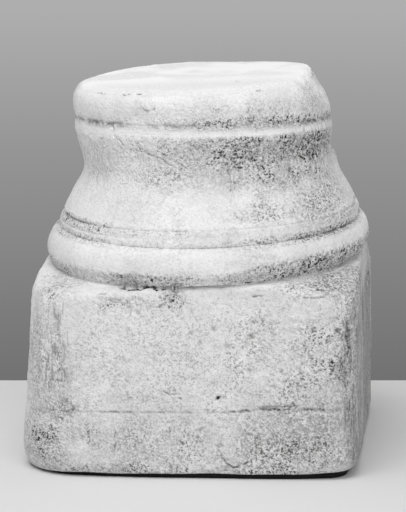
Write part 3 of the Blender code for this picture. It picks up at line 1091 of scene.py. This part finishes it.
def pitted_zone(skin):
    """How strongly each place is pitted."""
    zone = np.maximum(patches(skin, PITTED), LEAST_PITTED)
    under_torus = skin.under_torus(-2 * MM, 11 * MM, 7 * MM, 7 * MM)
    zone = np.maximum(zone, under_torus * skin.round_moulding(UNDER_TORUS, 0.6))
    zone = np.maximum(zone, neck_shade(skin))
    for name, low, high, fade, strength, table in MOULDING_PITS:
        start = getattr(skin.level, name)
        shelter = strength * skin.band(start + low * MM, start + high * MM, fade * MM)
        zone = np.maximum(zone, shelter * skin.round_moulding(table, 0.5))
    neck = skin.level.neck
    hidden = 0.55 * skin.band(neck - 12 * MM, neck + 10 * MM, 12 * MM)
    hidden = np.maximum(hidden, 0.6 * ramp(rough(skin.points, 46 * MM, 71, 2), 0.0, 0.6))
    zone = np.maximum(zone, hidden * (1 - skin.front))
    return zone * (0.9 + 0.25 * rough(skin.points, 12 * MM, 73, 2)).clip(0.3, 1.2)


def groove_dirt_and_shade(skin):
    """Dark lines of dirt and painted shade in the bottoms of the grooves, and how far each groove is worn
    away.
    """
    dark_marks, filled = np.zeros(len(skin.x)), np.zeros(len(skin.x))
    broken = 0.25 + 0.75 * ramp(rough(skin.points, 7 * MM, 81, 2), -0.30, 0.20)
    for name, table, width, filling in GROOVES:
        above = skin.height - getattr(skin.level, name)
        clear = skin.round_moulding(table, 0.6)
        dark_marks = np.maximum(dark_marks, gauss(above, width * MM) * clear * broken)
        worn = gauss(above - 0.8 * MM, 2.8 * MM) * (1 - np.clip(clear, 0, 1)) ** 2
        filled = np.maximum(filled, filling * MM * worn)
    return dark_marks, filled


def blunt_and_refine(stone, sizes):
    """Wear the rim and the crease under the crown round, and make finer faces where marks need them."""
    mesh = stone.data
    crown = Levels(sizes).crown
    height = kept(mesh, BLANK_HEIGHT)
    soften(stone, (height > crown + RIM_START) & (read_points(mesh)[:, 1] < RIM_BACK), RIM_SMOOTHING)
    soften(stone, np.abs(height - crown) < CREASE_WIDTH, CREASE_SMOOTHING)
    refine(stone, near_cracks(read_points(mesh)), 2)
    skin = Skin(mesh, sizes, read_points(mesh))
    refine(stone, (pitted_zone(skin) > 0.8) & (skin.front > 0.9), 1)


# Depths of the chips, the pits, the level line and the grooves; pitted zones have deeper pits
CHIP_DEPTH = 2.2 * MM
PIT_DEPTH = 0.7 * MM
PIT_DEEPER = 0.9 * MM
LINE_DEPTH = 1.1 * MM
GROOVE_DEPTH = 1.2 * MM

# Painted shade: more than any grit takes away, so that the recess under the stone is painted black as the
# shadow under it
RECESS_PAINTED_SHADE = 4.0


def weather(stone, sizes):
    """Wear the carved surface, and keep what the material needs to know about each place."""
    mesh = stone.data
    skin = Skin(mesh, sizes, break_off(read_points(mesh)))
    normals = read_points(mesh, "normal")
    points, height, z = skin.points, skin.height, skin.z
    underside = np.maximum(ramp(-normals[:, 2], 0.6, 0.95) * (z < 12 * MM), height < HAIR)
    # The top of the bed: smoother and less pitted, and painted pale as the light falling on it
    on_bed = ramp(normals[:, 2], 0.8, 0.97) * (height > skin.level.crown)

    zone = pitted_zone(skin)
    move = 0.9 * MM * rough(points, 90 * MM, 1, 2) + 0.7 * MM * rough(points, 24 * MM, 2, 3)
    move = (move + (0.25 + 0.55 * zone) * MM * rough(points, 6 * MM, 3, 3)) * (1 - 0.6 * on_bed)
    for swell, radius, place in SWELLINGS:
        move += swell * MM * gauss(np.linalg.norm(points - np.array(place) * MM, axis=1), radius * MM)
    chipped = ramp(rough(points, 17 * MM, 7, 2), 0.2, 0.65) * plinth_arris(skin)
    pits = scatter_pits(points, zone)
    line = level_line(skin) * (z > 40 * MM) * (z < 90 * MM)
    cuts, cut_dirt = cut_marks(points)
    grooves, filled = groove_dirt_and_shade(skin)
    move -= CHIP_DEPTH * chipped
    move -= (PIT_DEPTH + PIT_DEEPER * zone) * np.sqrt(pits)
    move += filled - cuts - LINE_DEPTH * line - GROOVE_DEPTH * grooves ** 2
    write_points(mesh, points + normals * (move * (1 - underside))[:, None])

    # The plinth's right face, which turns away from the key lamp: it is darkened with painted shade, and
    # carries upright streaks
    side = ramp(normals[:, 0], 0.35, 1.0) * (height < skin.level.foot)
    side = side * (1 - 0.7 * ramp(z, 150 * MM, 178 * MM))
    crown = skin.level.crown
    clean_band = 0.7 * skin.band(crown - 8 * MM, crown - 3.5 * MM, 3 * MM) * skin.front
    # Painted shade: the underside and the recess under the stone are painted black, as the shadow beneath it
    hidden = RECESS_PAINTED_SHADE * (height < HAIR)
    shade = {
        "pitted": zone * (1 - 0.9 * on_bed) * (1 - 0.6 * clean_band),
        # Dirt in cracks, the level line and pits, dirt and painted shade in the grooves, and the painted
        # black shade of the recess
        "dirt_and_painted_shade": np.max([1.1 * cut_dirt, 1.1 * line, grooves, 0.35 * pits, hidden], axis=0),
        # Grey skin and dirt, with painted shade under the torus, at the crown's groove, in the neck and on
        # the plinth's right face
        "skin_and_painted_shade": darkness(skin, chipped, on_bed, side),
        # Pale where rubbed clean, and painted light on the top of the bed and on places the lamps leave in
        # shade
        "rubbed_and_painted_light": np.max([patches(skin, RUBBED_AND_PAINTED_LIGHT), on_bed, clean_band], axis=0),
        "upright": np.clip(patches(skin, UPRIGHT_STREAKS) + side, 0, 1),
        "slanting": patches(skin, SLANTING_STREAKS),
    }
    for name, values in shade.items():
        keep(mesh, name, np.clip(values, 0, RECESS_PAINTED_SHADE))
    mesh.attributes.remove(mesh.attributes[BLANK_HEIGHT])


def darkness(skin, chipped, on_bed, side):
    """How dark the grey skin and the dirt are, and the painted shade under the torus, at the crown's groove,
    in the neck and on the plinth's right face.
    """
    x, crown = skin.x, skin.level.crown
    at_right = 0.2 + 0.12 * ramp(x, -20 * MM, 60 * MM)
    over_band = skin.band(crown - 1 * MM, crown + 2 * MM, 6 * MM) * skin.front
    dark = np.max([
        patches(skin, GREY_SKIN_AND_SHADE),
        0.3 * chipped,
        # Painted shade on the underside of the torus, darker towards the right
        skin.under_torus(0.0, 6 * MM, 7 * MM, 9 * MM) * at_right * along(x, UNDER_TORUS),
        # Painted shade in the crease at the crown's groove, under its bulge
        0.16 * over_band * along(x, OVER_BAND),
        # Dirt and painted shade in the neck under the band, darker towards the right
        (0.34 + 0.11 * ramp(x, 30 * MM, 90 * MM)) * neck_shade(skin) ** 2,
        # A grey on the top of the bed, stronger towards its front
        0.30 * on_bed * ramp(-skin.y, 20 * MM, 80 * MM),
        # Painted shade on the plinth's right face
        0.76 * side,
    ], axis=0)
    return dark + 0.3 * (1 - skin.front) * ramp(rough(skin.points, 50 * MM, 91, 2), -0.1, 0.5)


def add_node(tree, kind, *feeds, output=None, **settings):
    """Add a node, set its properties, feed its inputs in order or by name, and give one of its outputs."""
    node = tree.nodes.new("ShaderNode" + kind)
    named = {}
    for name, value in settings.items():
        if hasattr(node, name):
            setattr(node, name, value)
        else:
            named[name.replace("_", " ")] = value
    fed = list(zip([socket for socket in node.inputs if socket.enabled], feeds))
    for socket, value in fed + [(node.inputs[name], value) for name, value in named.items()]:
        if isinstance(value, bpy.types.NodeSocket):
            tree.links.new(value, socket)
        else:
            socket.default_value = value
    return next(socket for socket in node.outputs if socket.enabled and output in (None, socket.name))


def strokes(tree, place, width, run, lean):
    """Noise drawn out into strokes that stand upright or lean to the right."""
    scale = (1 / width, 1 / width, 1 / run)
    drawn = add_node(tree, "Mapping", place, Rotation=(0.0, -lean, 0.0), Scale=scale)
    return add_node(tree, "TexNoise", drawn, Scale=1.0, Detail=3.0, Roughness=0.55)


# Size in millimetres, detail and roughness of the stone's broad tones, mottling and clusters of pits,
# then of its crumbs and grain: the real grit is under 1 mm, and is drawn at 2 to 4 mm so that it shows
LIMESTONE_NOISES = ((60, 4.0, 0.55), (15, 4.0, 0.55), (24, 3.0, 0.55), (3.5, 2.0, 0.8), (1.8, 1.0, 0.6))
CELL_SIZE = 3.9 * MM
RELIEF_HEIGHT = 1.6 * MM


def weathered_limestone(colours):
    """Limestone, cut with point and claw, then weathered outdoors: matt, chalky, pitted and dusty, with
    painted light and shade in its colour.
    """
    material = bpy.data.materials.new("weathered_limestone")
    material.use_nodes = True
    tree = material.node_tree
    shader = tree.nodes["Principled BSDF"]
    node = partial(add_node, tree)
    tones = (colours.pale, colours.body, colours.grey, colours.soot_and_painted_shade)
    pale, body, grey, soot_and_painted_shade = ((*tone, 1.0) for tone in tones)
    place = node("TexCoord", output="Object")
    pitted, dirt_and_painted_shade, skin_and_painted_shade, rubbed_and_painted_light, upright, slanting = (
        node("Attribute", attribute_name=name, output="Fac")
        for name in ("pitted", "dirt_and_painted_shade", "skin_and_painted_shade", "rubbed_and_painted_light", "upright", "slanting"))
    broad, mottle, clusters, crumbs, grain = (
        node("TexNoise", place, Scale=1 / (size * MM), Detail=detail, Roughness=roughness)
        for size, detail, roughness in LIMESTONE_NOISES)
    grit = node("Mix", 0.5, crumbs, grain)
    cells = node("TexVoronoi", place, Scale=1 / CELL_SIZE)
    upright_strokes = strokes(tree, place, 2.0 * MM, 24 * MM, 0.0)
    slanting_strokes = strokes(tree, place, 2.6 * MM, 9 * MM, math.radians(38))
    stains = strokes(tree, place, 34 * MM, 160 * MM, 0.0)

    # Chalky patches on the body of the stone, and painted light on the top of the bed and on places the lamps
    # leave in shade
    chalk_and_painted_light = node("MapRange", node("Mix", 0.5, broad, mottle), 0.45, 0.64)
    chalk_and_painted_light = node("Math", chalk_and_painted_light, rubbed_and_painted_light, operation="MAXIMUM")
    tone = node("Mix", chalk_and_painted_light, body, pale, data_type="RGBA")

    # The grey skin and the painted shade, mottled, grainy where they are dark and streaked where strokes show
    patina_and_shade = node("MapRange", mottle, 0.48, 0.72, 0.0, 0.24)
    patina_and_shade = node("Math", patina_and_shade, node("Math", 1.0, rubbed_and_painted_light, operation="SUBTRACT"), operation="MULTIPLY")
    for strength, share in ((skin_and_painted_shade, node("MapRange", grit, 0.58, 0.44, 0.45, 1.0)),
                            (upright, node("MapRange", stains, 0.55, 0.40, 0.0, 0.6))):
        patina_and_shade = node("Math", strength, share, patina_and_shade, operation="MULTIPLY_ADD")
    tone = node("Mix", patina_and_shade, tone, grey, data_type="RGBA")

    # Pale crumbs that stand up, partly a painted highlight, and dark holes between them, partly dirt and
    # partly painted shade
    raised = node("Math", pitted, 0.95, 0.10, operation="MULTIPLY_ADD")
    raised = node("Math", raised, node("MapRange", grit, 0.51, 0.58), operation="MULTIPLY")
    tone = node("Mix", raised, tone, pale, data_type="RGBA")
    crumbled = node("Math", pitted, 1.5, operation="POWER")
    holes = node("Math", crumbled, 1.3, 0.05, operation="MULTIPLY_ADD")
    for share in (node("MapRange", rubbed_and_painted_light, 0.7, 1.0, 1.0, 0.4), node("MapRange", grit, 0.485, 0.41),
                  node("MapRange", clusters, 0.42, 0.58, 0.45, 1.35)):
        holes = node("Math", holes, share, operation="MULTIPLY")
    gaps = node("MapRange", cells, 0.45, 0.80, 0.0, 0.55)
    dark_marks = node("Math", gaps, crumbled, holes, operation="MULTIPLY_ADD")

    # Dirt in the strokes and the cracks, dirt and painted shade in the grooves, and the painted black shade
    # of the recess under the stone
    for strength, share in ((upright, node("MapRange", upright_strokes, 0.37, 0.47, 0.6, 0.0)),
                            (slanting, node("MapRange", slanting_strokes, 0.38, 0.50, 0.7, 0.0)),
                            (dirt_and_painted_shade, node("MapRange", grit, 0.60, 0.44, 0.5, 1.0))):
        held = node("Math", strength, share, operation="MULTIPLY")
        dark_marks = node("Math", dark_marks, held, operation="MAXIMUM")
    tone = node("Mix", dark_marks, tone, soot_and_painted_shade, data_type="RGBA")
    tree.links.new(tone, shader.inputs["Base Color"])

    # Grit that is rougher where the stone is pitted, then cells, mottling and strokes
    relief = node("Math", pitted, 3.6, 0.40, operation="MULTIPLY_ADD")
    relief = node("Math", grit, relief, operation="MULTIPLY")
    for layer, strength, depth in ((cells, pitted, -0.5), (mottle, 1.0, 0.4),
                                   (upright_strokes, upright, 0.6), (slanting_strokes, slanting, 1.4)):
        layer = node("Math", layer, strength, operation="MULTIPLY")
        relief = node("Math", layer, depth, relief, operation="MULTIPLY_ADD")
    tree.links.new(node("Bump", Height=relief, Distance=RELIEF_HEIGHT), shader.inputs["Normal"])
    tree.links.new(node("MapRange", mottle, 0.3, 0.7, 0.82, 0.95), shader.inputs["Roughness"])
    shader.inputs["IOR"].default_value = 1.5
    shader.inputs["Specular IOR Level"].default_value = 0.25
    return material


class CarveStone(bpy.types.Operator):
    """Turn, square, set and weather the column base"""

    bl_idname = "column_base.carve_stone"
    bl_label = "Carve the stone"

    def execute(self, context):
        sizes, colours, _ = settings()
        stone = turn_blank(sizes)
        stone.name = stone.data.name = "column_base_stone"
        shape_blank(stone.data, sizes)
        blunt_and_refine(stone, sizes)
        weather(stone, sizes)
        stone.data.shade_smooth()
        stone.data.materials.append(weathered_limestone(colours))
        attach(stone, "root")
        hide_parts(NODE)
        return {"FINISHED"}


# How far the table reaches behind the stone, and to the front and the sides
TABLE_BACK = 262 * MM
TABLE_REACH = 3.0


def table_material(colours):
    """Painted board: matt, pale and even."""
    material = bpy.data.materials.new("painted_board")
    material.use_nodes = True
    shader = material.node_tree.nodes["Principled BSDF"]
    shader.inputs["Base Color"].default_value = (*colours, 1.0)
    shader.inputs["Roughness"].default_value = 0.8
    return material


def lay_table(stage):
    """A table top that ends a little behind the stone, square to the camera."""
    bpy.ops.object.select_all(action="DESELECT")
    bpy.ops.mesh.primitive_plane_add(size=2.0)
    table = bpy.context.active_object
    table.name = table.data.name = "table_top"
    half_depth = (TABLE_REACH + TABLE_BACK) / 2
    bpy.ops.object.mode_set(mode="EDIT")
    bpy.ops.mesh.select_all(action="SELECT")
    bpy.ops.transform.resize(value=(TABLE_REACH, half_depth, 1.0))
    bpy.ops.transform.translate(value=(0.0, TABLE_BACK - half_depth, 0.0))
    bpy.ops.object.mode_set(mode="OBJECT")
    x, y, z = read_points(table.data).T
    turn_cos, turn_sin = math.cos(stage.turn), math.sin(stage.turn)
    write_points(table.data, np.stack([x * turn_cos - y * turn_sin, x * turn_sin + y * turn_cos, z], axis=1))
    table.data.materials.append(table_material(tuple(stage.table)))


# The wall's grey by how steeply one looks at it: sine of the elevation, then the tone
WALL_TONES = ((-0.25, "#6C6C6C"), (-0.2215, "#727272"), (-0.185, "#7E7E7E"), (-0.112, "#959595"),
              (-0.0434, "#AEAEAE"), (0.05, "#B4B4B4"), (0.25, "#909090"))

# How much brighter the room lights the stone than it looks
ROOM_LIGHT = 1.55

# Name, place, size and power of each area light, and the height that both aim at
LAMPS = (
    ("key", (-0.30, -0.95, 2.30), 1.6, 30.5),
    ("fill", (1.0, -2.1, 1.4), 1.8, 13.0),
)
AIM_HEIGHT = 0.18


def light_room():
    """Even grey behind the table, and soft light from the upper left and the front."""
    scene = bpy.context.scene
    scene.view_settings.view_transform = "Standard"
    world = bpy.data.worlds.new("studio")
    scene.world = world
    world.use_nodes = True
    tree = world.node_tree
    background = tree.nodes["Background"]
    node = partial(add_node, tree)
    steepness = node("SeparateXYZ", node("TexCoord", output="Generated"), output="Z")
    low, high = WALL_TONES[0][0], WALL_TONES[-1][0]
    tones = node("ValToRGB", node("MapRange", steepness, low, high))
    stops = tones.node.color_ramp.elements
    while len(stops) < len(WALL_TONES):
        stops.new(0.5)
    for stop, (elevation, tone) in zip(stops, WALL_TONES):
        stop.position = (elevation - low) / (high - low)
        stop.color = (*linear(tone), 1.0)
    tree.links.new(tones, background.inputs["Color"])
    seen = node("LightPath", output="Is Camera Ray")
    tree.links.new(node("MapRange", seen, 0.0, 1.0, ROOM_LIGHT, 1.0), background.inputs["Strength"])

    for name, place, size, power in LAMPS:
        light = bpy.data.lights.new(name, "AREA")
        light.size = size
        light.energy = power
        lamp = bpy.data.objects.new(name, light)
        scene.collection.objects.link(lamp)
        lamp.location = place
        aim = Vector((0.0, 0.0, AIM_HEIGHT)) - lamp.location
        lamp.rotation_euler = aim.to_track_quat("-Z", "Y").to_euler()


# The picture's height on the sensor, and how far the camera stands to the left of its line to the middle
SENSOR_SIZE = 36.0
CAMERA_ASIDE = 1.7 * MM


def place_camera(stage):
    """A long lens, a little above the stone and to the right of its front."""
    camera = bpy.data.objects.new("camera", bpy.data.cameras.new("camera"))
    bpy.context.scene.collection.objects.link(camera)
    camera.data.lens = stage.focal
    camera.data.sensor_width = SENSOR_SIZE
    camera.location = (stage.distance * math.sin(stage.turn) - CAMERA_ASIDE,
                       -stage.distance * math.cos(stage.turn), stage.eye_height)
    camera.rotation_euler = (QUARTER_TURN - stage.pitch, 0.0, stage.turn)
    bpy.context.scene.camera = camera


class SetStage(bpy.types.Operator):
    """Lay the table, light the room and place the camera"""

    bl_idname = "column_base.set_stage"
    bl_label = "Set the stage"

    def execute(self, context):
        stage = settings()[2]
        lay_table(stage)
        light_room()
        place_camera(stage)
        return {"FINISHED"}


class ColumnBasePanel(bpy.types.Panel):
    """Lists what builds the column base."""

    bl_label = "Column base"
    bl_idname = "VIEW3D_PT_column_base"
    bl_space_type = "VIEW_3D"
    bl_region_type = "UI"
    bl_category = "Column base"

    def draw(self, context):
        layout = self.layout
        for operator in (CarveStone, SetStage):
            layout.operator(operator.bl_idname)
        for group in settings():
            box = layout.box()
            for name in group.bl_rna.properties.keys():
                if name not in ("rna_type", "name"):
                    box.prop(group, name)


CLASSES = (StoneSizes, StoneColours, StageSettings, CarveStone, SetStage, ColumnBasePanel)


def register():
    for cls in CLASSES:
        bpy.utils.register_class(cls)
    bpy.types.Scene.stone_sizes = bpy.props.PointerProperty(type=StoneSizes)
    bpy.types.Scene.stone_colours = bpy.props.PointerProperty(type=StoneColours)
    bpy.types.Scene.stage_settings = bpy.props.PointerProperty(type=StageSettings)


def unregister():
    for name in ("stone_sizes", "stone_colours", "stage_settings"):
        delattr(bpy.types.Scene, name)
    for cls in reversed(CLASSES):
        bpy.utils.unregister_class(cls)


def main():
    register()
    bpy.ops.column_base.carve_stone()
    bpy.ops.column_base.set_stage()


if __name__ == "__main__":
    main()
